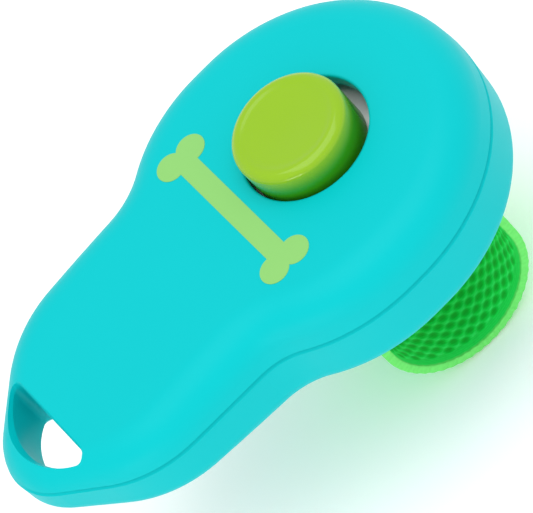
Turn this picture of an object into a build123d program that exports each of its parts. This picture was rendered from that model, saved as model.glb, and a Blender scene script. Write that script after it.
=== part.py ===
from build123d import *
import os
from math import cos, radians, sin, sqrt, tan

# Dog-training clicker: a keyhole-shaped two-part casing, a thumb button on a
# spring-steel snap disc, and an elastic finger loop under the round head.
# Millimetres, +Z up, +X towards the round head. It is modelled about the
# button's axis with z = 0 at the joint between the two shells, and moved as it
# is written so that the origin lies under the middle of the whole object.

# ---- outline of the casing at the joint, seen from above ----
HEAD_X = -3.2            # centre of the head's rear round
HEAD_R = 22.6
HEAD_STRAIGHT = 2.0      # short straight between its rear and front rounds
TIP_X = -43.0            # centre of the rounded tip of the tail
TIP_R = 8.9
SHOULDER_X = -39.7       # where the tail starts to narrow
SHOULDER_HALF = 15.7
NECK_HALF = 16.2         # half the tail's width where it meets the head
SHOULDER_R = 16.0        # rounding of the two shoulders
NECK_R = 9.0             # hollow between head and tail

# ---- heights of the casing, from the joint between the shells ----
TOP_H = 6.6
BACK_H = 8.0
TOP_DROP = 4.2           # how much lower the top is at the tip than at the head
BACK_RISE = 3.2          # how much higher the back is at the tip
SLOPE_X = -9.0           # both start to slope here, on a large arc
TOP_EDGE_R = 4.8
BACK_EDGE_R = 2.4
TOP_DRAFT = 6.5          # degrees, on the top shell's side wall
BACK_DRAFT = 3.0
WALL = 1.8
JOINT_GROOVE = 0.35      # chamfer on each shell that makes the V-groove

# ---- button, its hole and the snap disc ----
BUTTON_R = 7.5
BUTTON_PROUD = 4.0
BUTTON_WALL = 1.7
BUTTON_RIM_R = 1.4
DISH_R = 5.7
DISH_DEPTH = 0.45
BUTTON_TRAVEL = 1.6
HOLE_R = 8.4
HOLE_X = 0.6             # the hole is a little nearer the head than the button
HOLE_LIP_R = 0.35
STEM_R = 1.5
STEM_LOW_Z = 0.9
DISC_R = 14.0
DISC_T = 0.3
DISC_RIM_Z = 1.2
DISC_TOP_Z = 3.4
DISC_FLAT = 1.6          # width of the disc's flat rim
DISC_HOLE_R = 1.8
NUT_R = 3.2
NUT_T = 0.5
NUT_BELOW = 0.35         # the nut's top face below the disc's crown
DISC_GAP = 0.15          # between the disc and the foot of the button

# ---- clamp ring under the disc's rim ----
RING_IN_R = 12.0
RING_OUT_R = 15.6
RING_LOW_Z = -0.8
LUG_R = 2.3
LUG_AT_R = 16.6
LUG_ANGLES = (60, 180, 300)
RING_SCREW_R = 0.8
RING_SCREW_HEAD_R = 1.6
RING_SCREW_HEAD_H = 1.0
RING_SCREW_LONG = 4.6

# ---- screws that close the casing, put in from the back ----
CASE_SCREWS = ((2.6, 18.4), (2.6, -18.4), (-31.5, 9.3), (-31.5, -9.3))
CASE_SCREW_R = 1.0
CASE_SCREW_HEAD_R = 1.9
CASE_SCREW_HEAD_H = 1.3
CASE_SCREW_LONG = 8.0
CASE_BOSS_R = 2.3        # bosses in the top shell
CASE_SEAT_BOSS_R = 2.8   # bosses in the bottom shell, round the screw heads
CASE_HEAD_DEEP = 1.6     # how far the screw's head is sunk below the back

# ---- finger strap and its pins ----
STRAP_WIDE = 19.0
STRAP_T = 1.4
STRAP_FRONT_X = 11.2     # outer faces of the strap's two legs
STRAP_REAR_X = -11.0
STRAP_DEEP = 24.2        # from the back of the casing to the loop's low point
STRAP_GAP = 0.35         # clearance round the strap in its slots
PIN_R = 0.8
EYE_IN_R = 0.85
EYE_OUT_R = 2.1
PIN_LONG = 23.0
SADDLE_T = 1.4

# ---- D-shaped lanyard slot through the tail ----
SLOT_X = -43.5           # straight edge, towards the head
SLOT_HALF = 8.7
SLOT_DEEP = 5.0
SLOT_CORNER_R = 0.9
SLOT_WALL = 1.5
TIP_SOLID_X = -46.4      # the tail is solid from here to its tip
TOP_MOUTH = ((1.3, 16.0), (0.6, 40.0), (0.3, 62.0))    # depth and flare of each step
BACK_MOUTH = ((0.9, 35.0),)
MOUTH_TILT = 12.0        # degrees, about the fall of the tail's faces there

FLOOR_Z = -BACK_H + WALL
PIN_Z = FLOOR_Z + EYE_OUT_R + 0.05
LOOP_R = (STRAP_FRONT_X - STRAP_REAR_X) / 2
LOOP_X = (STRAP_FRONT_X + STRAP_REAR_X) / 2
LOOP_Z = -BACK_H - STRAP_DEEP + LOOP_R
LOW_Z = -BACK_H - STRAP_DEEP
FRONT_X = HEAD_X + HEAD_STRAIGHT + HEAD_R
TIP_END_X = TIP_X - TIP_R
MIDDLE_X = (FRONT_X + TIP_END_X) / 2
FAR = 60.0               # larger than the casing, for cutting planes
SKIRT = 4.0              # each half is drawn this far past the joint, then cut


def casing_outline():
    """Keyhole: a round head, a hollow neck, shoulders and a rounded tip."""
    front_x = HEAD_X + HEAD_STRAIGHT
    rear = Pos(HEAD_X, 0) * Circle(HEAD_R)
    front = Pos(front_x, 0) * Circle(HEAD_R)
    between = Pos((HEAD_X + front_x) / 2, 0) * Rectangle(HEAD_STRAIGHT, 2 * HEAD_R)
    tip = Pos(TIP_X, 0) * Circle(TIP_R)
    run = SHOULDER_X - TIP_X
    far = sqrt(run ** 2 + SHOULDER_HALF ** 2)
    touch = TIP_R / far
    side = sqrt(1 - touch ** 2)
    normal_x = (-SHOULDER_HALF * side + run * touch) / far
    normal_y = (run * side + SHOULDER_HALF * touch) / far
    touch_x = TIP_X + TIP_R * normal_x
    touch_y = TIP_R * normal_y
    upper = [(HEAD_X, NECK_HALF), (SHOULDER_X, SHOULDER_HALF), (touch_x, touch_y)]
    lower = [(x, -y) for x, y in reversed(upper)]
    tail = make_face(Polyline(*upper, *lower, close=True))
    outline = rear + between + front + tail + tip
    shoulders = [v for v in outline.vertices() if abs(v.X - SHOULDER_X) < 0.1]
    outline = fillet(shoulders, SHOULDER_R)
    necks = [v for v in outline.vertices() if -25 < v.X < -10 and abs(v.Y) > NECK_HALF - 2]
    return fillet(necks, NECK_R)


def slope_profile(height, drop):
    """Side view under the casing's outer face: level, then a large arc down to the tip."""
    run = SLOPE_X - TIP_END_X
    radius = (run ** 2 + drop ** 2) / (2 * drop)
    middle = radius - sqrt(radius ** 2 - (run / 2) ** 2)
    level = Line((FAR, height), (SLOPE_X, height))
    arc = ThreePointArc(
        (SLOPE_X, height), (SLOPE_X - run / 2, height - middle), (TIP_END_X, height - drop))
    rest = Polyline(
        (TIP_END_X, height - drop), (-FAR, height - drop), (-FAR, -FAR), (FAR, -FAR), (FAR, height))
    return make_face([level, arc, rest])


def half_casing(outline, height, drop, edge_r, draft):
    """One half of the casing as a solid above z = 0, its outer edge rounded."""
    foot = offset(outline, SKIRT * tan(radians(draft)))
    block = Pos(0, 0, -SKIRT) * extrude(foot, amount=SKIRT + height + 2, taper=draft)
    block = block & extrude(Plane.XZ * slope_profile(height, drop), amount=FAR, both=True)
    faces = [f for f in block.faces() if f.center().Z > 0 and abs(f.normal_at().Z) > 0.8]
    shared = [e for e in faces[0].edges() if e in faces[1].edges()]
    rim = [e for f in faces for e in f.edges() if e not in shared]
    upper = Box(2 * FAR, 2 * FAR, FAR, align=(Align.CENTER, Align.CENTER, Align.MIN))
    return fillet(rim, edge_r) & upper


def hollow_half(outline, height, drop, edge_r, draft):
    """A moulded half casing with an even wall, open at the joint."""
    solid = half_casing(outline, height, drop, edge_r, draft)
    inner = half_casing(offset(outline, -WALL), height - WALL, drop, edge_r - WALL, draft)
    return solid, solid - inner


def slot_outline(grow):
    """The lanyard slot's D, grown outwards by the given amount."""
    half = SLOT_HALF + grow
    straight = Line((SLOT_X + grow, -half), (SLOT_X + grow, half))
    curve = ThreePointArc(
        (SLOT_X + grow, half), (SLOT_X - SLOT_DEEP - grow, 0), (SLOT_X + grow, -half))
    face = make_face([straight, curve])
    return fillet(face.vertices(), SLOT_CORNER_R + grow)


def with_lanyard_slot(shell, solid, height, drop, mouth_steps):
    """Adds the wall round the slot, cuts the slot and softens its outer mouth."""
    tip = Pos(TIP_SOLID_X, 0) * Rectangle(FAR, FAR, align=(Align.MAX, Align.CENTER))
    wall = extrude(slot_outline(SLOT_WALL) + tip, amount=height) & solid
    shell = shell + wall - extrude(slot_outline(0), amount=height + 2)
    middle_x = SLOT_X - SLOT_DEEP / 2
    fall = drop * ((SLOPE_X - middle_x) / (SLOPE_X - TIP_END_X)) ** 2
    for depth, flare in mouth_steps:
        mouth = extrude(Pos(-middle_x, 0) * slot_outline(0), amount=depth + 0.6, taper=-flare)
        shell = shell - Pos(middle_x, 0, height - fall - depth) * Rot(0, -MOUTH_TILT, 0) * mouth
    return shell


def top_shell(outline):
    """Upper half: button hole, rib that the disc's rim seats on, bosses."""
    solid, shell = hollow_half(outline, TOP_H, TOP_DROP, TOP_EDGE_R, TOP_DRAFT)
    shell = with_lanyard_slot(shell, solid, TOP_H, TOP_DROP, TOP_MOUTH)
    shell = chamfer_joint(shell, outline)
    ceiling = TOP_H - WALL
    rib = post(DISC_R + 1.2, ceiling + 0.5 - DISC_RIM_Z - DISC_T) - Cylinder(DISC_R - DISC_FLAT, 20)
    rib = Pos(0, 0, DISC_RIM_Z + DISC_T) * rib
    shell = shell + rib
    for angle in LUG_ANGLES:
        x = LUG_AT_R * cos(radians(angle))
        y = LUG_AT_R * sin(radians(angle))
        low = DISC_RIM_Z + 0.2
        boss = Pos(x, y, low) * post(LUG_R, ceiling + 0.5 - low)
        shell = shell + (boss & solid)
        shell = shell - Pos(x, y, low - 1) * post(RING_SCREW_R, 4.0)
    for x, y in CASE_SCREWS:
        boss = Pos(x, y, 0) * post(CASE_BOSS_R, TOP_H)
        shell = shell + (boss & solid)
        shell = shell - Pos(x, y, -1) * post(CASE_SCREW_R, case_screw_reach() + 1.4)
    shell = shell - Pos(HOLE_X, 0, 0) * post(HOLE_R, TOP_H + 2)
    hole_edges = [
        e for e in shell.edges().filter_by(GeomType.CIRCLE)
        if abs(e.radius - HOLE_R) < 0.01 and e.center().Z > TOP_H - 0.1]
    return fillet(hole_edges, HOLE_LIP_R)


def case_screw_reach():
    """Height of a case screw's tip above the joint."""
    return -BACK_H + CASE_HEAD_DEEP + CASE_SCREW_HEAD_H + CASE_SCREW_LONG


def bottom_shell(outline):
    """Lower half: strap slots, saddles for the pins, screw bosses from the back."""
    solid, shell = hollow_half(outline, BACK_H, BACK_RISE, BACK_EDGE_R, BACK_DRAFT)
    shell = with_lanyard_slot(shell, solid, BACK_H, BACK_RISE, BACK_MOUTH)
    shell = chamfer_joint(shell, outline)
    for x, y in CASE_SCREWS:
        boss = Pos(x, y, 0) * post(CASE_SEAT_BOSS_R, BACK_H)
        shell = shell + (boss & solid)
    shell = mirror(shell, Plane.XY)
    for x, y in CASE_SCREWS:
        shell = shell - Pos(x, y, -FAR) * post(CASE_SCREW_R + 0.15, FAR + 1)
        seat = -BACK_H + CASE_HEAD_DEEP + CASE_SCREW_HEAD_H
        shell = shell - Pos(x, y, seat - FAR) * post(CASE_SCREW_HEAD_R + 0.15, FAR)
    for leg_x in (STRAP_FRONT_X - STRAP_T / 2, STRAP_REAR_X + STRAP_T / 2):
        slot = Box(STRAP_T + 2 * STRAP_GAP, STRAP_WIDE + 2 * STRAP_GAP, 3 * WALL)
        slot = fillet(slot.edges().filter_by(Axis.Z), 0.5)
        shell = shell - Pos(leg_x, 0, FLOOR_Z - WALL) * slot
    for pin_x in (front_pin_x(), rear_pin_x()):
        for side in (-1, 1):
            shell = shell + Pos(pin_x, side * (STRAP_WIDE / 2 + 1.2), 0) * saddle()
    return shell


def post(radius, height):
    """A cylinder standing on its own origin."""
    return Cylinder(radius, height, align=(Align.CENTER, Align.CENTER, Align.MIN))


def front_pin_x():
    return STRAP_FRONT_X - EYE_OUT_R


def rear_pin_x():
    return STRAP_REAR_X + EYE_OUT_R


def saddle():
    """A rib on the floor with a round notch that a strap pin lies in."""
    high = PIN_Z + 0.6 - FLOOR_Z
    rib = Box(4.6, SADDLE_T, high + 0.4, align=(Align.CENTER, Align.CENTER, Align.MIN))
    rib = Pos(0, 0, FLOOR_Z - 0.4) * rib
    notch = Rot(90, 0, 0) * Cylinder(PIN_R + 0.05, 4)
    mouth = Box(2 * PIN_R + 0.1, 4, 4, align=(Align.CENTER, Align.CENTER, Align.MIN))
    return rib - Pos(0, 0, PIN_Z) * notch - Pos(0, 0, PIN_Z) * mouth


def chamfer_joint(shell, outline):
    """Cuts the small chamfer round the joint that makes half of the V-groove."""
    groove = extrude(outline, amount=JOINT_GROOVE)
    core = extrude(offset(outline, -JOINT_GROOVE), amount=JOINT_GROOVE, taper=-44.0)
    return shell - (groove - core)


def thumb_button():
    """Hollow cap with a rounded rim, a dished top and a stem through the disc."""
    top = TOP_H + BUTTON_PROUD
    low = DISC_TOP_Z + DISC_T + DISC_GAP
    cap = Pos(0, 0, low) * post(BUTTON_R, top - low)
    cap = fillet(cap.edges().sort_by(Axis.Z)[-1], BUTTON_RIM_R)
    bowl_r = (DISH_R ** 2 + DISH_DEPTH ** 2) / (2 * DISH_DEPTH)
    cap = cap - Pos(0, 0, top - DISH_DEPTH + bowl_r) * Sphere(bowl_r)
    cap = cap - Pos(0, 0, low - 0.01) * post(BUTTON_R - BUTTON_WALL, top - low - BUTTON_WALL - DISH_DEPTH)
    hub = Pos(0, 0, low) * post(STEM_R + 1.3, top - low - BUTTON_WALL)
    stem = Pos(0, 0, STEM_LOW_Z) * post(STEM_R, low + 1 - STEM_LOW_Z)
    stem = chamfer(stem.edges().sort_by(Axis.Z)[0], 0.3)
    return cap + hub + stem


def click_disc():
    """Snap disc: a flat rim and a shallow dome pressed from thin spring steel."""
    dome_r_out = DISC_R - DISC_FLAT
    rise = DISC_TOP_Z - DISC_RIM_Z
    sphere_r = (dome_r_out ** 2 + rise ** 2) / (2 * rise)
    crown_z = DISC_RIM_Z + rise - sphere_r
    hole_z = crown_z + sqrt(sphere_r ** 2 - DISC_HOLE_R ** 2)
    mid_x = dome_r_out / 2
    mid_z = crown_z + sqrt(sphere_r ** 2 - mid_x ** 2)
    under = ThreePointArc((DISC_HOLE_R, hole_z), (mid_x, mid_z), (dome_r_out, DISC_RIM_Z))
    over = ThreePointArc(
        (DISC_HOLE_R, hole_z + DISC_T), (mid_x, mid_z + DISC_T), (dome_r_out, DISC_RIM_Z + DISC_T))
    rim = Polyline(
        (dome_r_out, DISC_RIM_Z), (DISC_R, DISC_RIM_Z), (DISC_R, DISC_RIM_Z + DISC_T),
        (dome_r_out, DISC_RIM_Z + DISC_T))
    bore = Line((DISC_HOLE_R, hole_z), (DISC_HOLE_R, hole_z + DISC_T))
    section = Plane.XZ * make_face([under, rim, over, bore])
    return revolve(section, Axis.Z)


def button_push_nut():
    """Thin toothed nut pressed onto the stem under the disc."""
    nut = Pos(0, 0, DISC_TOP_Z - NUT_T - NUT_BELOW) * post(NUT_R, NUT_T)
    return nut - Cylinder(STEM_R, 20)


def disc_clamp_ring():
    """Ring with three screw lugs that traps the disc's rim."""
    high = DISC_RIM_Z - RING_LOW_Z
    ring = Pos(0, 0, RING_LOW_Z) * post(RING_OUT_R, high)
    for angle in LUG_ANGLES:
        ring = ring + Rot(0, 0, angle) * Pos(LUG_AT_R, 0, RING_LOW_Z) * post(LUG_R, high)
    ring = ring - Cylinder(RING_IN_R, 20)
    for angle in LUG_ANGLES:
        ring = ring - Rot(0, 0, angle) * Pos(LUG_AT_R, 0, 0) * Cylinder(RING_SCREW_R + 0.1, 20)
    return ring


def pan_screw(shank_r, shank_long, head_r, head_h):
    """Self-tapping screw standing head down, its head's face at z = 0, with a cross recess."""
    head = post(head_r, head_h)
    head = fillet(head.edges().sort_by(Axis.Z)[0], head_h * 0.35)
    shank = Pos(0, 0, head_h) * post(shank_r, shank_long)
    shank = chamfer(shank.edges().sort_by(Axis.Z)[-1], shank_r * 0.5)
    cross = Box(head_r * 1.1, head_r * 0.25, head_h)
    return head + shank - cross - Rot(0, 0, 90) * cross


def clamp_ring_screws():
    """Three small screws that hold the ring to the top shell's bosses."""
    screw = pan_screw(RING_SCREW_R, RING_SCREW_LONG, RING_SCREW_HEAD_R, RING_SCREW_HEAD_H)
    low = RING_LOW_Z - RING_SCREW_HEAD_H
    return [Rot(0, 0, a) * Pos(LUG_AT_R, 0, low) * screw for a in LUG_ANGLES]


def case_screws():
    """Four screws sunk into the back that close the casing."""
    screw = pan_screw(CASE_SCREW_R, CASE_SCREW_LONG, CASE_SCREW_HEAD_R, CASE_SCREW_HEAD_H)
    return [Pos(x, y, -BACK_H + CASE_HEAD_DEEP) * screw for x, y in CASE_SCREWS]


def finger_strap():
    """Elastic band: two legs and a round loop, each end closed in an eye on a pin."""
    outer = Pos(LOOP_X, LOOP_Z) * Circle(LOOP_R)
    inner = Pos(LOOP_X, LOOP_Z) * Circle(LOOP_R - STRAP_T)
    upper = Pos(LOOP_X, LOOP_Z) * Rectangle(FAR, FAR, align=(Align.CENTER, Align.MIN))
    band = outer - inner - upper
    high = PIN_Z - LOOP_Z
    for leg_x in (STRAP_FRONT_X - STRAP_T / 2, STRAP_REAR_X + STRAP_T / 2):
        leg = Pos(leg_x, LOOP_Z) * Rectangle(STRAP_T, high, align=(Align.CENTER, Align.MIN))
        band = band + leg
    for pin_x in (front_pin_x(), rear_pin_x()):
        band = band + Pos(pin_x, PIN_Z) * Circle(EYE_OUT_R)
    for pin_x in (front_pin_x(), rear_pin_x()):
        band = band - Pos(pin_x, PIN_Z) * Circle(EYE_IN_R)
    return extrude(Plane.XZ * band, amount=STRAP_WIDE / 2, both=True)


def strap_pin(x):
    """Steel pin through a strap eye, resting in two saddles."""
    return Pos(x, 0, PIN_Z) * Rot(90, 0, 0) * Cylinder(PIN_R, PIN_LONG)


def write(name, shape):
    """Moves a piece to the object's own origin and writes its file."""
    solids = shape if isinstance(shape, list) else [shape]
    placed = [Pos(-MIDDLE_X, 0, -LOW_Z) * s for s in solids]
    shape = placed[0] if len(placed) == 1 else Compound(children=placed)
    export_step(shape, "parts/" + name + ".step")


os.makedirs("parts", exist_ok=True)
keyhole = casing_outline()
write("top_shell", top_shell(keyhole))
write("bottom_shell", bottom_shell(keyhole))
write("thumb_button", thumb_button())
write("button_push_nut", button_push_nut())
write("click_disc", click_disc())
write("disc_clamp_ring", disc_clamp_ring())
write("clamp_ring_screws", clamp_ring_screws())
write("finger_strap", finger_strap())
write("front_strap_pin", strap_pin(front_pin_x()))
write("rear_strap_pin", strap_pin(rear_pin_x()))
write("case_screws", case_screws())
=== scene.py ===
from math import atan2, cos, pi, radians, sin

import bmesh
import bpy
from mathutils import Matrix, Vector


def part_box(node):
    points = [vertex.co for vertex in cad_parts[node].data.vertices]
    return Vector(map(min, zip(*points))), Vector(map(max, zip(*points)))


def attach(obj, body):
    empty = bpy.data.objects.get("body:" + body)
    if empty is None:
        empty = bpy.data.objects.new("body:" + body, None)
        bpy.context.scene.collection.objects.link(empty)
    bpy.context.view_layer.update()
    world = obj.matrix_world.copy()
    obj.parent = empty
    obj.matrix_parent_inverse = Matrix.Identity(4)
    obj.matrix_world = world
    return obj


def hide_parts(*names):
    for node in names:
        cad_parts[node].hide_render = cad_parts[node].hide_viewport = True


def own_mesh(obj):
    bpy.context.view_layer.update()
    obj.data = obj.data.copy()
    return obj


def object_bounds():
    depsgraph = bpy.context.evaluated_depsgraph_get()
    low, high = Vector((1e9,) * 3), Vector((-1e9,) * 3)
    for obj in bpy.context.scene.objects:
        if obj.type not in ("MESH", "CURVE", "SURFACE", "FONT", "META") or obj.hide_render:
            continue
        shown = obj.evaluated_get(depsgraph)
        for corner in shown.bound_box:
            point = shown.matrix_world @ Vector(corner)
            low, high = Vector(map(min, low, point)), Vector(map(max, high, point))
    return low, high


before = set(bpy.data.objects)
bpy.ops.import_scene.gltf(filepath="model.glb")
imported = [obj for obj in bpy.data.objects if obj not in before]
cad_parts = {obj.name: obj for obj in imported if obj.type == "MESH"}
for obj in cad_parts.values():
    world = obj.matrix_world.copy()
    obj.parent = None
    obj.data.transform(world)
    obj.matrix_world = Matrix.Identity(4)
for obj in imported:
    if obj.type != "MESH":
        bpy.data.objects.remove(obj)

cad_low, cad_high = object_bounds()
MM = 0.001
scene = bpy.context.scene
scene.view_settings.view_transform = "Standard"

# ---------------------------------------------------------------- the set
# A pale table in a light room, with a large soft box overhead, a long low one
# on the near side and a small one that shines under the casing into the finger
# loop. The table is painted on its upper side only, and is clear from below.

button_low, button_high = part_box("thumb_button")
button_x = (button_low.x + button_high.x) / 2
joint_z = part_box("top_shell")[0].z
button_foot = Vector((button_x, 0, joint_z))

VIEW_AZIMUTH = radians(-2.2)
VIEW_ELEVATION = radians(47.2)
VIEW_ROLL = radians(-43.4)
VIEW_DISTANCE = 0.71
LENS = 407.9
AIM_LEFT = 7.12 * MM
AIM_DOWN = 10.28 * MM
TABLE_SIZE = 6.0
TABLE_GAP = 0.2 * MM             # between the strap's lowest point and the table


def new_material(name):
    """A node material, its nodes, its links and its Principled shader."""
    material = bpy.data.materials.new(name)
    material.use_nodes = True
    nodes, links = material.node_tree.nodes, material.node_tree.links
    return material, nodes, links, nodes["Principled BSDF"]


bpy.ops.object.select_all(action="DESELECT")
bpy.ops.mesh.primitive_plane_add(size=TABLE_SIZE, location=(0, 0, cad_low.z - TABLE_GAP))
floor = bpy.context.object
floor.name = "floor"
floor_paint, floor_nodes, floor_links, floor_shader = new_material("table_top")
floor_shader.inputs["Base Color"].default_value = (0.93, 0.93, 0.93, 1)
floor_shader.inputs["Roughness"].default_value = 0.8
floor_shader.inputs["Specular IOR Level"].default_value = 0.1
floor_shader.inputs["Emission Color"].default_value = (1, 1, 1, 1)
floor_shader.inputs["Emission Strength"].default_value = 0.12
floor_side = floor_nodes.new("ShaderNodeNewGeometry")
floor_gone = floor_nodes.new("ShaderNodeBsdfTransparent")
floor_pick = floor_nodes.new("ShaderNodeMixShader")
floor_links.new(floor_side.outputs["Backfacing"], floor_pick.inputs["Fac"])
floor_links.new(floor_shader.outputs["BSDF"], floor_pick.inputs[1])
floor_links.new(floor_gone.outputs["BSDF"], floor_pick.inputs[2])
floor_links.new(floor_pick.outputs["Shader"], floor_nodes["Material Output"].inputs["Surface"])
floor.data.materials.append(floor_paint)

room = bpy.data.worlds.new("room")
room.use_nodes = True
room.node_tree.nodes["Background"].inputs["Color"].default_value = (1, 1, 1, 1)
room.node_tree.nodes["Background"].inputs["Strength"].default_value = 0.88
scene.world = room


def soft_box(name, spot, width, depth, watts):
    """A rectangular area lamp at spot, in metres, turned to face the button."""
    bpy.ops.object.light_add(type="AREA", location=spot)
    lamp = bpy.context.object
    lamp.name = name
    lamp.data.shape = "RECTANGLE"
    lamp.data.size = width
    lamp.data.size_y = depth
    lamp.data.energy = watts
    lamp.rotation_mode = "QUATERNION"
    lamp.rotation_quaternion = (Vector(spot) - button_foot).to_track_quat("Z", "Y")


soft_box("overhead_box", (0.05, -0.10, 0.75), width=0.9, depth=0.7, watts=3.3)
soft_box("near_box", (0.25, -0.80, 0.30), width=0.7, depth=0.25, watts=0.15)
soft_box("under_box", (-0.34, -0.32, 0.04), width=0.22, depth=0.06, watts=0.3)

# The camera stands off from the button's axis and aims a little beside it.
back = Vector((
    sin(VIEW_AZIMUTH) * cos(VIEW_ELEVATION),
    -cos(VIEW_AZIMUTH) * cos(VIEW_ELEVATION),
    sin(VIEW_ELEVATION)))
level_right = (-back).cross(Vector((0, 0, 1))).normalized()
level_up = level_right.cross(-back)
right = cos(VIEW_ROLL) * level_right + sin(VIEW_ROLL) * level_up
up = cos(VIEW_ROLL) * level_up - sin(VIEW_ROLL) * level_right
eye = button_foot + back * VIEW_DISTANCE
aim = button_foot - right * AIM_LEFT - up * AIM_DOWN
out = (eye - aim).normalized()
side = (right - out * right.dot(out)).normalized()
bpy.ops.object.camera_add()
camera = bpy.context.object
camera.data.sensor_width = 36
camera.data.lens = LENS
camera.data.clip_start = 0.05
camera.data.clip_end = 20
turn = Matrix((side, out.cross(side), out)).transposed().to_4x4()
camera.matrix_world = Matrix.Translation(eye) @ turn
scene.camera = camera

# ---------------------------------------------------------------- casing
# Two moulded shells of turquoise ABS with a satin gloss. The mould leaves a
# very fine spark texture, and handling dulls the gloss a little in patches.

TURQUOISE = (0.0, 0.50, 0.525, 1)
TURQUOISE_DEEP = (0.0, 0.485, 0.51, 1)
CASING_IOR = 1.18                # low, for a wide soft sheen without hard glare
GRAIN_SIZE = 5000.0              # noise cells to the metre, 0.2 mm each
DRIFT_SIZE = 90.0                # noise cells to the metre, 11 mm each
GRAIN_STRENGTH = 0.35


def new_group(name, inputs, outputs):
    """A shader node group with its sockets, and its input and output nodes."""
    group = bpy.data.node_groups.new(name, "ShaderNodeTree")
    for label, kind, value in inputs:
        socket = group.interface.new_socket(label, in_out="INPUT", socket_type=kind)
        socket.default_value = value
    for label, kind in outputs:
        group.interface.new_socket(label, in_out="OUTPUT", socket_type=kind)
    return group, group.nodes.new("NodeGroupInput"), group.nodes.new("NodeGroupOutput")


def colour_mix(nodes, blend="MIX"):
    """A Mix node for two colours."""
    mix = nodes.new("ShaderNodeMix")
    mix.data_type = "RGBA"
    mix.blend_type = blend
    return mix


def moulded_finish():
    """Colour drift, gloss drift and fine spark-texture height of moulded plastic."""
    group, given, made = new_group(
        "moulded_finish",
        [("Colour", "NodeSocketColor", (1, 1, 1, 1)),
         ("Deep Colour", "NodeSocketColor", (1, 1, 1, 1)),
         ("Roughness", "NodeSocketFloat", 0.35),
         ("Gloss Drift", "NodeSocketFloat", 0.05),
         ("Grain Size", "NodeSocketFloat", GRAIN_SIZE)],
        [("Colour", "NodeSocketColor"),
         ("Roughness", "NodeSocketFloat"),
         ("Height", "NodeSocketFloat")])
    nodes, links = group.nodes, group.links
    place = nodes.new("ShaderNodeTexCoord")
    drift = nodes.new("ShaderNodeTexNoise")
    drift.inputs["Scale"].default_value = DRIFT_SIZE
    drift.inputs["Detail"].default_value = 3
    links.new(place.outputs["Object"], drift.inputs["Vector"])
    grain = nodes.new("ShaderNodeTexNoise")
    grain.inputs["Detail"].default_value = 2
    links.new(place.outputs["Object"], grain.inputs["Vector"])
    links.new(given.outputs["Grain Size"], grain.inputs["Scale"])
    blend = colour_mix(nodes)
    links.new(drift.outputs["Fac"], blend.inputs["Factor"])
    links.new(given.outputs["Colour"], blend.inputs["A"])
    links.new(given.outputs["Deep Colour"], blend.inputs["B"])
    gloss = nodes.new("ShaderNodeMath")
    gloss.operation = "MULTIPLY_ADD"
    links.new(drift.outputs["Fac"], gloss.inputs[0])
    links.new(given.outputs["Gloss Drift"], gloss.inputs[1])
    links.new(given.outputs["Roughness"], gloss.inputs[2])
    links.new(blend.outputs["Result"], made.inputs["Colour"])
    links.new(gloss.outputs["Value"], made.inputs["Roughness"])
    links.new(grain.outputs["Fac"], made.inputs["Height"])
    return group


MOULDED = moulded_finish()


def moulded_plastic(name, colour, deep_colour, roughness, gloss_drift, grain_depth):
    """A moulded-plastic material of the given colours and gloss."""
    material, nodes, links, shader = new_material(name)
    finish = nodes.new("ShaderNodeGroup")
    finish.node_tree = MOULDED
    finish.inputs["Colour"].default_value = colour
    finish.inputs["Deep Colour"].default_value = deep_colour
    finish.inputs["Roughness"].default_value = roughness
    finish.inputs["Gloss Drift"].default_value = gloss_drift
    bump = nodes.new("ShaderNodeBump")
    bump.inputs["Strength"].default_value = GRAIN_STRENGTH
    bump.inputs["Distance"].default_value = grain_depth
    links.new(finish.outputs["Height"], bump.inputs["Height"])
    links.new(finish.outputs["Colour"], shader.inputs["Base Color"])
    links.new(finish.outputs["Roughness"], shader.inputs["Roughness"])
    links.new(bump.outputs["Normal"], shader.inputs["Normal"])
    return material


casing_plastic = moulded_plastic(
    "casing_plastic", TURQUOISE, TURQUOISE_DEEP,
    roughness=0.4, gloss_drift=0.08, grain_depth=0.01 * MM)
casing_plastic.node_tree.nodes["Principled BSDF"].inputs["IOR"].default_value = CASING_IOR


def dress(node, material):
    """Gives a CAD node a material on all its faces."""
    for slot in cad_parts[node].material_slots:
        slot.material = material


dress("top_shell", casing_plastic)
dress("bottom_shell", casing_plastic)

# ---------------------------------------------------------------- button
# Moulded lime-green cap: a rolled rim with a low raised bead, a shallow dip for
# the thumb, and a stem underneath that goes through the snap disc. The colour
# darkens to deeper green down the side: painted shade, as the side gets less light.

LIME = (0.255, 0.465, 0.004, 1)
LIME_DEEP = (0.24, 0.45, 0.004, 1)
# painted shade: the deeper green down the cap's side, which gets less light than the top
SIDE_SHADE_GREEN = (0.035, 0.30, 0.006, 1)
BUTTON_RADIUS = (button_high.x - button_low.x) / 2
BUTTON_FOOT_UP = 2.95 * MM       # the cap's lower edge above the stem's tip
CAP_WALL = 1.6 * MM
RIM_ROLL = 0.95 * MM
BEAD_AT = 6.3 * MM
BEAD_RISE = 0.2 * MM
BEAD_WIDTH = 0.55 * MM
BEAD_FALL = 2.72                 # how fast the bead's bell shape falls away
DIP = 0.34 * MM
STEM_RADIUS = 1.5 * MM
STEM_TIP_RADIUS = STEM_RADIUS * 0.8
STEM_TIP_ROLL = 0.3 * MM
HUB_RADIUS = 2.6 * MM
CAP_ROOF = 2.2 * MM              # thickness of the cap under its top
FOOT_ROLL = 0.15 * MM
SLIVER = 0.01 * MM               # lift that keeps a flat ring from being level
ROLL_STEPS = 12
TOP_RINGS = 21
TOP_SPREAD = 22.5                # over TOP_RINGS, so the last ring stays open
CAP_SEGMENTS = 160
SHARP_FROM = radians(40)
SIDE_SHADE_FULL_DEPTH = 3.2 * MM           # below the cap's top: full painted shade
SIDE_SHADE_END_DEPTH = 0.5 * MM             # below the cap's top: no painted shade, plain lime


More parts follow.
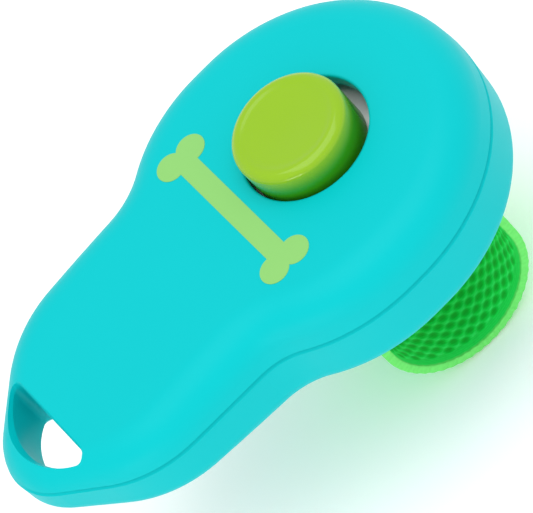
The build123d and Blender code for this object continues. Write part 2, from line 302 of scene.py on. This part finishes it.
def grow_rings(centre, rings):
    """Extrudes the picked ring of edges from the first (radius, height) to the last."""
    radius, height = rings[0]
    for next_radius, next_height in rings[1:]:
        bpy.ops.mesh.extrude_edges_move(
            TRANSFORM_OT_translate={"value": (0, 0, next_height - height)})
        grow = next_radius / radius
        bpy.ops.transform.resize(
            value=(grow, grow, 1), center_override=(centre.x, centre.y, next_height))
        radius, height = next_radius, next_height


def turned(name, centre, rings, segments):
    """A closed turned piece: rings of (radius, height) from its low pole to its high one."""
    bpy.ops.object.select_all(action="DESELECT")
    first_radius, first_height = rings[0]
    bpy.ops.mesh.primitive_circle_add(
        vertices=segments, radius=first_radius, fill_type="TRIFAN",
        location=(centre.x, centre.y, first_height))
    piece = bpy.context.object
    piece.name = name
    bpy.ops.object.transform_apply(location=True, rotation=True, scale=True)
    bpy.ops.object.mode_set(mode="EDIT")
    bpy.ops.mesh.select_mode(type="EDGE")
    bpy.ops.mesh.select_all(action="DESELECT")
    shape = bmesh.from_edit_mesh(piece.data)
    for edge in shape.edges:
        rim = all((v.co.xy - centre.xy).length > first_radius / 2 for v in edge.verts)
        edge.select_set(rim)
    bmesh.update_edit_mesh(piece.data)
    grow_rings(centre, rings)
    bpy.ops.mesh.fill()
    bpy.ops.mesh.select_all(action="SELECT")
    bpy.ops.mesh.normals_make_consistent(inside=False)
    bpy.ops.object.mode_set(mode="OBJECT")
    bpy.ops.object.shade_smooth_by_angle(angle=SHARP_FROM)
    return piece


def cap_height(radius):
    """Rise of the bead less the depth of the dip, at a radius."""
    dip = DIP * cos(min(radius / BEAD_AT, 1) * pi / 2) ** 2
    bead = BEAD_RISE * BEAD_FALL ** (-((radius - BEAD_AT) / BEAD_WIDTH) ** 2)
    return bead - dip


cap_top = button_high.z - BEAD_RISE
cap_foot = button_low.z + BUTTON_FOOT_UP
bore_radius = BUTTON_RADIUS - CAP_WALL
cap_rings = [
    (STEM_TIP_RADIUS, button_low.z), (STEM_RADIUS, button_low.z + STEM_TIP_ROLL),
    (STEM_RADIUS, cap_foot), (HUB_RADIUS, cap_foot + SLIVER),
    (HUB_RADIUS, cap_top - CAP_ROOF), (bore_radius, cap_top - CAP_ROOF + SLIVER),
    (bore_radius, cap_foot + SLIVER), (BUTTON_RADIUS - FOOT_ROLL, cap_foot),
    (BUTTON_RADIUS, cap_foot + FOOT_ROLL)]
for step in range(ROLL_STEPS + 1):
    turn_by = step / ROLL_STEPS * pi / 2
    ring_radius = BUTTON_RADIUS - RIM_ROLL * (1 - cos(turn_by))
    ring_height = cap_top - RIM_ROLL * (1 - sin(turn_by)) + cap_height(ring_radius)
    cap_rings.append((ring_radius, ring_height))
for step in range(1, TOP_RINGS + 1):
    ring_radius = (BUTTON_RADIUS - RIM_ROLL) * (1 - step / TOP_SPREAD)
    cap_rings.append((ring_radius, cap_top + cap_height(ring_radius)))

button_plastic = moulded_plastic(
    "button_plastic", LIME, LIME_DEEP, roughness=0.17, gloss_drift=0.06, grain_depth=0.004 * MM)
button_cap = turned("button_cap", button_foot, cap_rings, CAP_SEGMENTS)
button_nodes, button_links = button_plastic.node_tree.nodes, button_plastic.node_tree.links
button_shader = button_nodes["Principled BSDF"]
button_shader.inputs["Specular IOR Level"].default_value = 0.3
button_shader.inputs["Coat Weight"].default_value = 0.25
button_shader.inputs["Coat Roughness"].default_value = 0.08
# Painted shade: the base colour darkens to a deeper green down the cap's side, by height.
height_at = button_nodes.new("ShaderNodeTexCoord")
height_split = button_nodes.new("ShaderNodeSeparateXYZ")
button_links.new(height_at.outputs["Object"], height_split.inputs["Vector"])
side_shade_amount = button_nodes.new("ShaderNodeMapRange")
side_shade_amount.interpolation_type = "SMOOTHSTEP"
side_shade_amount.inputs["From Min"].default_value = cap_top - SIDE_SHADE_FULL_DEPTH
side_shade_amount.inputs["From Max"].default_value = cap_top - SIDE_SHADE_END_DEPTH
button_links.new(height_split.outputs["Z"], side_shade_amount.inputs["Value"])
paint_side_shade = colour_mix(button_nodes)
paint_side_shade.inputs["A"].default_value = SIDE_SHADE_GREEN
button_links.new(side_shade_amount.outputs["Result"], paint_side_shade.inputs["Factor"])
button_links.new(button_shader.inputs["Base Color"].links[0].from_socket, paint_side_shade.inputs["B"])
button_links.new(paint_side_shade.outputs["Result"], button_shader.inputs["Base Color"])
button_cap.data.materials.append(button_plastic)
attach(button_cap, "button")
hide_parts("thumb_button")

# ---------------------------------------------------------------- snap disc
# A domed disc of bright spring steel with a flat rim. It shows through the gap
# round the button, and flattens with a click when the button is pressed.

disc_low, disc_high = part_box("click_disc")
DISC_RADIUS = (disc_high.x - disc_low.x) / 2
DISC_BORE = 1.8 * MM
DISC_SHEET = 0.3 * MM
DISC_FLAT_RIM = 1.6 * MM
DOME_STEPS = 14
DISC_SEGMENTS = 128
WELD = 0.001 * MM
STREAK_SIZE = 900.0              # noise cells to the metre
STREAK_GLOSS = 0.07              # change of roughness either way
disc_rise = disc_high.z - disc_low.z - DISC_SHEET


def dome(radius):
    """Height of the dome's underside above its rim."""
    inside = DISC_RADIUS - DISC_FLAT_RIM
    return disc_rise * max(0, 1 - (radius / inside) ** 2)


def disc_section():
    """Rings up the disc's underside to the bore, back out along its top and home."""
    slope = DISC_RADIUS - DISC_FLAT_RIM - DISC_BORE
    steps = [DISC_BORE + slope * k / DOME_STEPS for k in range(DOME_STEPS + 1)]
    under = [(r, disc_low.z + dome(r)) for r in reversed(steps)]
    over = [(r, z + DISC_SHEET) for r, z in reversed(under)]
    edge = [(DISC_RADIUS, disc_low.z + DISC_SHEET), (DISC_RADIUS, disc_low.z)]
    return under + over + edge + under[:1]


bpy.ops.object.select_all(action="DESELECT")
disc_rings = disc_section()
bpy.ops.mesh.primitive_circle_add(
    vertices=DISC_SEGMENTS, radius=disc_rings[0][0],
    location=(button_foot.x, 0, disc_rings[0][1]))
snap_disc = bpy.context.object
snap_disc.name = "snap_disc"
bpy.ops.object.transform_apply(location=True, rotation=True, scale=True)
bpy.ops.object.mode_set(mode="EDIT")
bpy.ops.mesh.select_mode(type="EDGE")
bpy.ops.mesh.select_all(action="SELECT")
grow_rings(button_foot, disc_rings)
bpy.ops.mesh.select_all(action="SELECT")
bpy.ops.mesh.remove_doubles(threshold=WELD)
bpy.ops.mesh.normals_make_consistent(inside=False)
bpy.ops.object.mode_set(mode="OBJECT")
bpy.ops.object.shade_smooth_by_angle(angle=SHARP_FROM)


def metal(name, colour, dark_colour, metallic, roughness, streak_scale, streak_depth):
    """Plain metal with fine rolling or plating streaks in its colour, gloss and height."""
    material, nodes, links, shader = new_material(name)
    shader.inputs["Metallic"].default_value = metallic
    place = nodes.new("ShaderNodeTexCoord")
    stretch = nodes.new("ShaderNodeMapping")
    stretch.inputs["Scale"].default_value = streak_scale
    links.new(place.outputs["Object"], stretch.inputs["Vector"])
    streak = nodes.new("ShaderNodeTexNoise")
    streak.inputs["Scale"].default_value = STREAK_SIZE
    streak.inputs["Detail"].default_value = 4
    links.new(stretch.outputs["Vector"], streak.inputs["Vector"])
    tone = colour_mix(nodes)
    tone.inputs["A"].default_value = dark_colour
    tone.inputs["B"].default_value = colour
    links.new(streak.outputs["Fac"], tone.inputs["Factor"])
    links.new(tone.outputs["Result"], shader.inputs["Base Color"])
    gloss = nodes.new("ShaderNodeMapRange")
    gloss.inputs["To Min"].default_value = roughness - STREAK_GLOSS
    gloss.inputs["To Max"].default_value = roughness + STREAK_GLOSS
    links.new(streak.outputs["Fac"], gloss.inputs["Value"])
    links.new(gloss.outputs["Result"], shader.inputs["Roughness"])
    bump = nodes.new("ShaderNodeBump")
    bump.inputs["Strength"].default_value = 0.3
    bump.inputs["Distance"].default_value = streak_depth
    links.new(streak.outputs["Fac"], bump.inputs["Height"])
    links.new(bump.outputs["Normal"], shader.inputs["Normal"])
    return material


spring_steel = metal(
    "spring_steel", (0.97, 0.95, 0.94, 1), (0.88, 0.86, 0.85, 1), metallic=0.4, roughness=0.42,
    streak_scale=(0.1, 2, 1), streak_depth=0.004 * MM)
snap_disc.data.materials.append(spring_steel)
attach(snap_disc, "casing")
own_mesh(snap_disc)
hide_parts("click_disc")
dress("button_push_nut", spring_steel)

# ---------------------------------------------------------------- clamp ring and fasteners
# The ring that traps the disc is natural moulded plastic. The screws are bright
# zinc-plated steel, and the pins in the strap's eyes are plain ground steel.

ring_plastic = moulded_plastic(
    "ring_plastic", (0.80, 0.80, 0.75, 1), (0.74, 0.74, 0.68, 1),
    roughness=0.45, gloss_drift=0.08, grain_depth=0.01 * MM)
dress("disc_clamp_ring", ring_plastic)
zinc_plate = metal(
    "zinc_plate", (0.74, 0.76, 0.79, 1), (0.60, 0.63, 0.68, 1), metallic=0.95, roughness=0.34,
    streak_scale=(1, 1, 1), streak_depth=0.006 * MM)
ground_steel = metal(
    "ground_steel", (0.64, 0.64, 0.65, 1), (0.52, 0.52, 0.54, 1), metallic=1.0, roughness=0.28,
    streak_scale=(1, 0.1, 1), streak_depth=0.004 * MM)
dress("clamp_ring_screws", zinc_plate)
dress("case_screws", zinc_plate)
dress("front_strap_pin", ground_steel)
dress("rear_strap_pin", ground_steel)

# ---------------------------------------------------------------- printed mark
# A plain bone shape in lime ink across the neck of the top shell: one thick
# layer of pad print, standing a few hundredths of a millimetre proud.

MARK_X = button_foot.x - 11.2 * MM
MARK_Y = 0.2 * MM
MARK_HALF = 11.6 * MM
BAR_HALF = 1.4 * MM
KNOB_RADIUS = 1.95 * MM
KNOB_APART = 1.6 * MM
KNOB_SIDES = 48
MARK_DEEP = 0.25 * MM
MARK_PROUD = 0.05 * MM
MARK_TILT = radians(-0.5)
INK_EDGE = 0.04 * MM


def top_height(x, y):
    """Height of the top shell's outer face at a place."""
    above = Vector((x, y, cad_high.z + 1))
    _, spot, _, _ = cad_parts["top_shell"].ray_cast(above, Vector((0, 0, -1)))
    return spot.z


bpy.ops.object.select_all(action="DESELECT")
mark_z = top_height(MARK_X, MARK_Y) + MARK_PROUD - MARK_DEEP / 2
bpy.ops.mesh.primitive_cube_add(size=1, location=(MARK_X, MARK_Y, mark_z))
bone_mark = bpy.context.object
bone_mark.name = "bone_mark"
bone_mark.scale = (2 * BAR_HALF, 2 * MARK_HALF, MARK_DEEP)
bpy.ops.object.transform_apply(location=True, rotation=True, scale=True)
for end in (-1, 1):
    for across in (-1, 1):
        bpy.ops.object.select_all(action="DESELECT")
        bpy.ops.mesh.primitive_cylinder_add(
            vertices=KNOB_SIDES, radius=KNOB_RADIUS, depth=MARK_DEEP,
            location=(MARK_X + across * KNOB_APART, MARK_Y + end * MARK_HALF, mark_z))
        knob = bpy.context.object
        bpy.ops.object.transform_apply(location=True, rotation=True, scale=True)
        bpy.context.view_layer.objects.active = bone_mark
        union = bone_mark.modifiers.new("knob", "BOOLEAN")
        union.operation = "UNION"
        union.object = knob
        bpy.ops.object.modifier_apply(modifier="knob")
        bpy.data.objects.remove(knob)
bone_mark.select_set(True)
bpy.ops.object.mode_set(mode="EDIT")
bpy.ops.mesh.select_all(action="SELECT")
bpy.ops.transform.rotate(
    value=-MARK_TILT, orient_axis="Y", center_override=(MARK_X, MARK_Y, mark_z))
bpy.ops.object.mode_set(mode="OBJECT")
bevel = bone_mark.modifiers.new("soft_edge", "BEVEL")
bevel.width = INK_EDGE
bevel.segments = 2
bevel.limit_method = "ANGLE"
bpy.ops.object.modifier_apply(modifier="soft_edge")
bpy.ops.object.shade_smooth_by_angle(angle=SHARP_FROM)
lime_ink = moulded_plastic(
    "lime_ink", (0.235, 0.56, 0.135, 1), (0.215, 0.53, 0.125, 1),
    roughness=0.4, gloss_drift=0.1, grain_depth=0.012 * MM)
bone_mark.data.materials.append(lime_ink)
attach(bone_mark, "casing")

# ---------------------------------------------------------------- finger strap
# Knitted elastic, one band round the finger. Each end wraps a steel pin inside
# the casing. The knit stands up in staggered ribs, and its selvedge is paler.

strap_low, strap_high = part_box("finger_strap")
STRAP_HALF = (strap_high.y - strap_low.y) / 2
STRAP_SHEET = 1.1 * MM
STRAP_MIDDLE = 0.7 * MM          # from the band's outer face to the middle of its thickness
STRAP_RADIUS = (strap_high.x - strap_low.x) / 2 - STRAP_MIDDLE
EYE_RADIUS = 1.4 * MM
EYE_SWEEP = radians(230)
RIB_ACROSS = 1.7 * MM
RIB_ALONG = 2.6 * MM
RIB_HEIGHT = 0.12 * MM
SELVEDGE = 1.2 * MM
SELVEDGE_FADE = 0.5 * MM         # over which the ribs rise beside the selvedge
PALE_EDGE = 0.4 * MM
PALE_FADE = 0.2 * MM
SCALLOP = 0.07 * MM
SCALLOP_FROM = 0.8               # of the band's half width, outwards
PLAIN_UNDER_PIN = 1.5 * MM       # the band is plain from here up and round the pin
PLAIN_FADE = 2 * MM
RIM_ROUND = 0.28 * MM
YARN_SIZE = 950.0                # wave scale, to the metre
YARN_DEEP = 0.05 * MM
FUZZ_SIZE = 2600.0               # noise cells to the metre
SAME_PLACE = 0.05 * MM
WIDTH_CELLS = 118
LEG_CELLS = 70
LOOP_CELLS = 124
EYE_CELLS = 20
loop_x = (strap_low.x + strap_high.x) / 2
loop_z = strap_low.z + STRAP_RADIUS + STRAP_MIDDLE
pin_z = sum(corner.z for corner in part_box("front_strap_pin")) / 2
front_pin_x = sum(corner.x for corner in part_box("front_strap_pin")) / 2
rear_pin_x = sum(corner.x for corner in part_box("rear_strap_pin")) / 2


def straight_run(rise, cells):
    """Extrudes the picked edge of the band straight along Z, in equal cells."""
    for _ in range(cells):
        bpy.ops.mesh.extrude_edges_move(
            TRANSFORM_OT_translate={"value": (0, 0, rise / cells)})


def swing(centre, sweep, cells):
    """Extrudes the picked edge of the band round a line along Y, in equal cells."""
    for _ in range(cells):
        bpy.ops.mesh.extrude_edges_move(TRANSFORM_OT_translate={"value": (0, 0, 0)})
        bpy.ops.transform.rotate(
            value=-sweep / cells, orient_axis="Y", center_override=(centre[0], 0, centre[1]))


bpy.ops.object.select_all(action="DESELECT")
start_x = front_pin_x + EYE_RADIUS * cos(EYE_SWEEP)
start_z = pin_z + EYE_RADIUS * sin(EYE_SWEEP)
bpy.ops.mesh.primitive_grid_add(
    x_subdivisions=1, y_subdivisions=WIDTH_CELLS, size=2 * STRAP_HALF,
    location=(start_x, 0, start_z))
strap = bpy.context.object
strap.name = "finger_strap_knit"
bpy.ops.object.transform_apply(location=True, rotation=True, scale=True)
bpy.ops.object.mode_set(mode="EDIT")
band = bmesh.from_edit_mesh(strap.data)
bmesh.ops.delete(band, geom=[v for v in band.verts if v.co.x < start_x], context="VERTS")
for vertex in band.verts:
    vertex.co.x = start_x
bmesh.update_edit_mesh(strap.data)
bpy.ops.mesh.select_mode(type="EDGE")
bpy.ops.mesh.select_all(action="SELECT")
swing((front_pin_x, pin_z), EYE_SWEEP, EYE_CELLS)
straight_run(loop_z - pin_z, LEG_CELLS)
swing((loop_x, loop_z), pi, LOOP_CELLS)
straight_run(pin_z - loop_z, LEG_CELLS)
swing((rear_pin_x, pin_z), EYE_SWEEP, EYE_CELLS)
bpy.ops.object.mode_set(mode="OBJECT")


def along_band(spot):
    """The run along the band from the loop's low point to spot, and its outward way there."""
    if spot.z <= loop_z:
        angle = atan2(spot.x - loop_x, loop_z - spot.z)
        return angle * STRAP_RADIUS, Vector((sin(angle), 0, -cos(angle)))
    side = 1 if spot.x > loop_x else -1
    quarter = STRAP_RADIUS * pi / 2
    if spot.z <= pin_z and abs(spot.x - loop_x) > STRAP_RADIUS - SAME_PLACE:
        return side * (quarter + spot.z - loop_z), Vector((side, 0, 0))
    pin_x = front_pin_x if side > 0 else rear_pin_x
    angle = atan2(spot.z - pin_z, side * (spot.x - pin_x)) % (2 * pi)
    run = side * (quarter + pin_z - loop_z + angle * EYE_RADIUS)
    return run, Vector((side * cos(angle), 0, sin(angle)))


def clamped(value):
    """The value kept between 0 and 1."""
    return min(1, max(0, value))


# Each point's place in the rib pattern is kept, to paint shade into the knit's dimples and a
# highlight onto its ribs.
rib_shade_levels, edges, runs = [], [], []
for vertex in strap.data.vertices:
    run, outwards = along_band(vertex.co)
    across = vertex.co.y
    open_part = clamped((pin_z - PLAIN_UNDER_PIN - vertex.co.z) / PLAIN_FADE)
    inner_part = clamped((STRAP_HALF - SELVEDGE - abs(across)) / SELVEDGE_FADE)
    rib = cos(2 * pi * across / RIB_ACROSS) * cos(2 * pi * run / RIB_ALONG)
    rib_shade_levels.append(0.5 + 0.5 * rib * inner_part)
    edges.append(clamped((abs(across) - STRAP_HALF + PALE_EDGE) / PALE_FADE))
    runs.append(run)
    near_edge = max(0, abs(across) / STRAP_HALF - SCALLOP_FROM) / (1 - SCALLOP_FROM)
    scallop = SCALLOP * cos(2 * pi * run / (RIB_ALONG / 2)) * near_edge ** 2 * open_part
    inwards = -1 if across > 0 else 1
    vertex.co += outwards * (RIB_HEIGHT * rib * inner_part * open_part)
    vertex.co.y += inwards * (SCALLOP + scallop) * near_edge ** 2
for label, values in (("rib_shade", rib_shade_levels), ("selvedge", edges), ("run", runs)):
    layer = strap.data.attributes.new(label, "FLOAT", "POINT")
    layer.data.foreach_set("value", values)

strap.select_set(True)
bpy.context.view_layer.objects.active = strap
thick = strap.modifiers.new("thickness", "SOLIDIFY")
thick.thickness = STRAP_SHEET
thick.offset = 0
bpy.ops.object.modifier_apply(modifier="thickness")
bpy.ops.object.mode_set(mode="EDIT")
bpy.ops.mesh.select_all(action="SELECT")
bpy.ops.mesh.normals_make_consistent(inside=False)
bpy.ops.object.mode_set(mode="OBJECT")
round_rim = strap.modifiers.new("round_rim", "BEVEL")
round_rim.width = RIM_ROUND
round_rim.segments = 2
round_rim.limit_method = "ANGLE"
round_rim.angle_limit = radians(60)
bpy.ops.object.modifier_apply(modifier="round_rim")
bpy.ops.object.shade_smooth()


def knitted_elastic():
    """Bright green knit: painted shade in the dimples and painted highlight on the ribs, a
    paler selvedge, fine yarns and fuzz.
    """
    material, nodes, links, shader = new_material("knitted_elastic")
    shader.inputs["Roughness"].default_value = 0.8
    shader.inputs["Specular IOR Level"].default_value = 0.2
    shader.inputs["Sheen Weight"].default_value = 0.15
    shader.inputs["Sheen Roughness"].default_value = 0.5
    shader.inputs["Sheen Tint"].default_value = (0.4, 1.0, 0.4, 1)
    rib_shade = nodes.new("ShaderNodeAttribute")
    rib_shade.attribute_name = "rib_shade"
    # Painted shade and highlight: darker green in the dimples, brighter green on the ribs.
    rib_shade_ramp = nodes.new("ShaderNodeValToRGB")
    rib_shade_ramp.color_ramp.elements[0].position = 0.08
    rib_shade_ramp.color_ramp.elements[0].color = (0.0, 0.52, 0.035, 1)
    rib_shade_ramp.color_ramp.elements[1].position = 0.85
    rib_shade_ramp.color_ramp.elements[1].color = (0.06, 1.0, 0.22, 1)
    middle = rib_shade_ramp.color_ramp.elements.new(0.4)
    middle.color = (0.002, 0.78, 0.085, 1)
    links.new(rib_shade.outputs["Fac"], rib_shade_ramp.inputs["Fac"])
    selvedge = nodes.new("ShaderNodeAttribute")
    selvedge.attribute_name = "selvedge"
    edge_mix = colour_mix(nodes)
    edge_mix.inputs["B"].default_value = (0.17, 0.78, 0.16, 1)
    links.new(selvedge.outputs["Fac"], edge_mix.inputs["Factor"])
    links.new(rib_shade_ramp.outputs["Color"], edge_mix.inputs["A"])
    place = nodes.new("ShaderNodeTexCoord")
    split = nodes.new("ShaderNodeSeparateXYZ")
    links.new(place.outputs["Object"], split.inputs["Vector"])
    run_here = nodes.new("ShaderNodeAttribute")
    run_here.attribute_name = "run"
    join = nodes.new("ShaderNodeCombineXYZ")
    links.new(run_here.outputs["Fac"], join.inputs["X"])
    links.new(split.outputs["Y"], join.inputs["Y"])
    yarn = nodes.new("ShaderNodeTexWave")
    yarn.bands_direction = "Y"
    yarn.inputs["Scale"].default_value = YARN_SIZE
    yarn.inputs["Distortion"].default_value = 1.5
    yarn.inputs["Detail"].default_value = 1
    links.new(join.outputs["Vector"], yarn.inputs["Vector"])
    fuzz = nodes.new("ShaderNodeTexNoise")
    fuzz.inputs["Scale"].default_value = FUZZ_SIZE
    fuzz.inputs["Detail"].default_value = 3
    links.new(place.outputs["Object"], fuzz.inputs["Vector"])
    both = nodes.new("ShaderNodeMath")
    both.operation = "MULTIPLY_ADD"
    both.inputs[1].default_value = 0.6
    links.new(yarn.outputs["Fac"], both.inputs[0])
    links.new(fuzz.outputs["Fac"], both.inputs[2])
    shade = colour_mix(nodes, "MULTIPLY")
    shade.inputs["B"].default_value = (0.55, 0.78, 0.55, 1)
    spread = nodes.new("ShaderNodeMapRange")
    spread.inputs["From Min"].default_value = 0.4
    spread.inputs["From Max"].default_value = 1.2
    spread.inputs["To Min"].default_value = 0.6
    spread.inputs["To Max"].default_value = 0.0
    links.new(both.outputs["Value"], spread.inputs["Value"])
    links.new(spread.outputs["Result"], shade.inputs["Factor"])
    links.new(edge_mix.outputs["Result"], shade.inputs["A"])
    links.new(shade.outputs["Result"], shader.inputs["Base Color"])
    bump = nodes.new("ShaderNodeBump")
    bump.inputs["Strength"].default_value = 0.5
    bump.inputs["Distance"].default_value = YARN_DEEP
    links.new(both.outputs["Value"], bump.inputs["Height"])
    links.new(bump.outputs["Normal"], shader.inputs["Normal"])
    return material


strap.data.materials.append(knitted_elastic())
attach(strap, "casing")
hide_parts("finger_strap")
